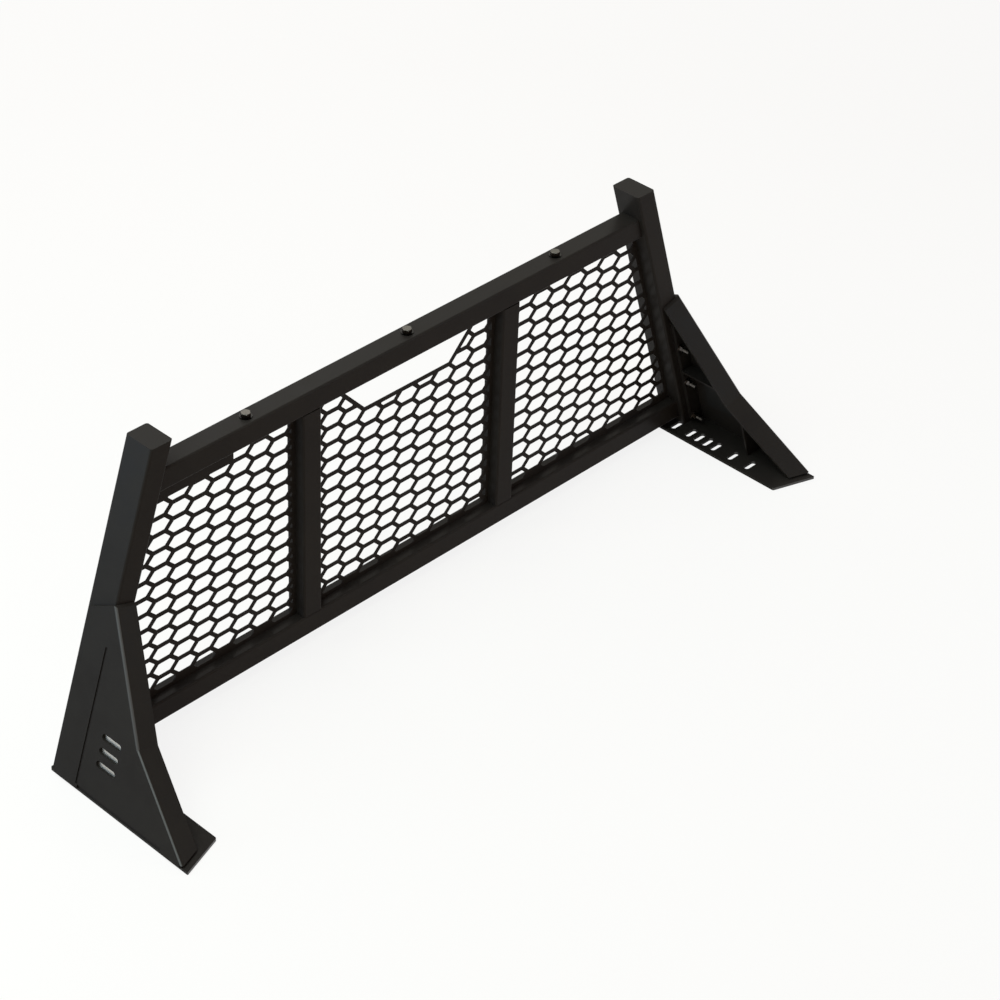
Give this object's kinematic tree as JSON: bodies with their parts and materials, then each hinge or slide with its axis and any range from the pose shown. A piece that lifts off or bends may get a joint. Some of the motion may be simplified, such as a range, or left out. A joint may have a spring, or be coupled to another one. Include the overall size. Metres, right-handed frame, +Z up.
{
  "type": "headache rack",
  "caption": "Truck headache rack: leaning posts, cross bars and hexagon mesh on folded plate legs with slotted base plates; window under the top bar.",
  "frame": {"origin": "underside of the base plates, in the middle of the slots, midway between the legs", "axes": "+X across the truck to the right, +Y towards the posts' rear face, +Z up; the legs' front flanges face -Y"},
  "size_m": [1.8956, 0.4248, 0.7061],
  "materials": {
    "frame_coat": "satin black powder coat",
    "leg_coat": "satin black powder coat",
    "mesh_coat": "satin black powder coat",
    "zinc_plate": "bright zinc plating",
    "stainless": "plain stainless steel",
    "badge_metal": "brushed stainless steel"
  },
  "bodies": {
    "root": {"bottom_bar": "frame_coat", "centre_mesh_panel": "mesh_coat", "left_backing_plate": "badge_metal", "left_base_plate": "leg_coat", "left_clamp_plate": "leg_coat", "left_leg_bolts": "zinc_plate", "left_leg_nuts": "zinc_plate", "left_leg_plate": "leg_coat", "left_leg_washers": "zinc_plate", "left_lower_gusset": "leg_coat", "left_mesh_panel": "mesh_coat", "left_mid_post": "frame_coat", "left_post": "frame_coat", "left_post_cap": "frame_coat", "left_shim_plate": "leg_coat", "left_upper_gusset": "leg_coat", "light_bolt_nuts": "zinc_plate", "light_bolts": "stainless", "light_washers": "stainless", "right_backing_plate": "badge_metal", "right_base_plate": "leg_coat", "right_clamp_plate": "leg_coat", "right_leg_bolts": "zinc_plate", "right_leg_nuts": "zinc_plate", "right_leg_plate": "leg_coat", "right_leg_washers": "zinc_plate", "right_lower_gusset": "leg_coat", "right_mesh_panel": "mesh_coat", "right_mid_post": "frame_coat", "right_post": "frame_coat", "right_post_cap": "frame_coat", "right_shim_plate": "leg_coat", "right_upper_gusset": "leg_coat", "top_bar": "frame_coat"}
  },
  "joints": []
}
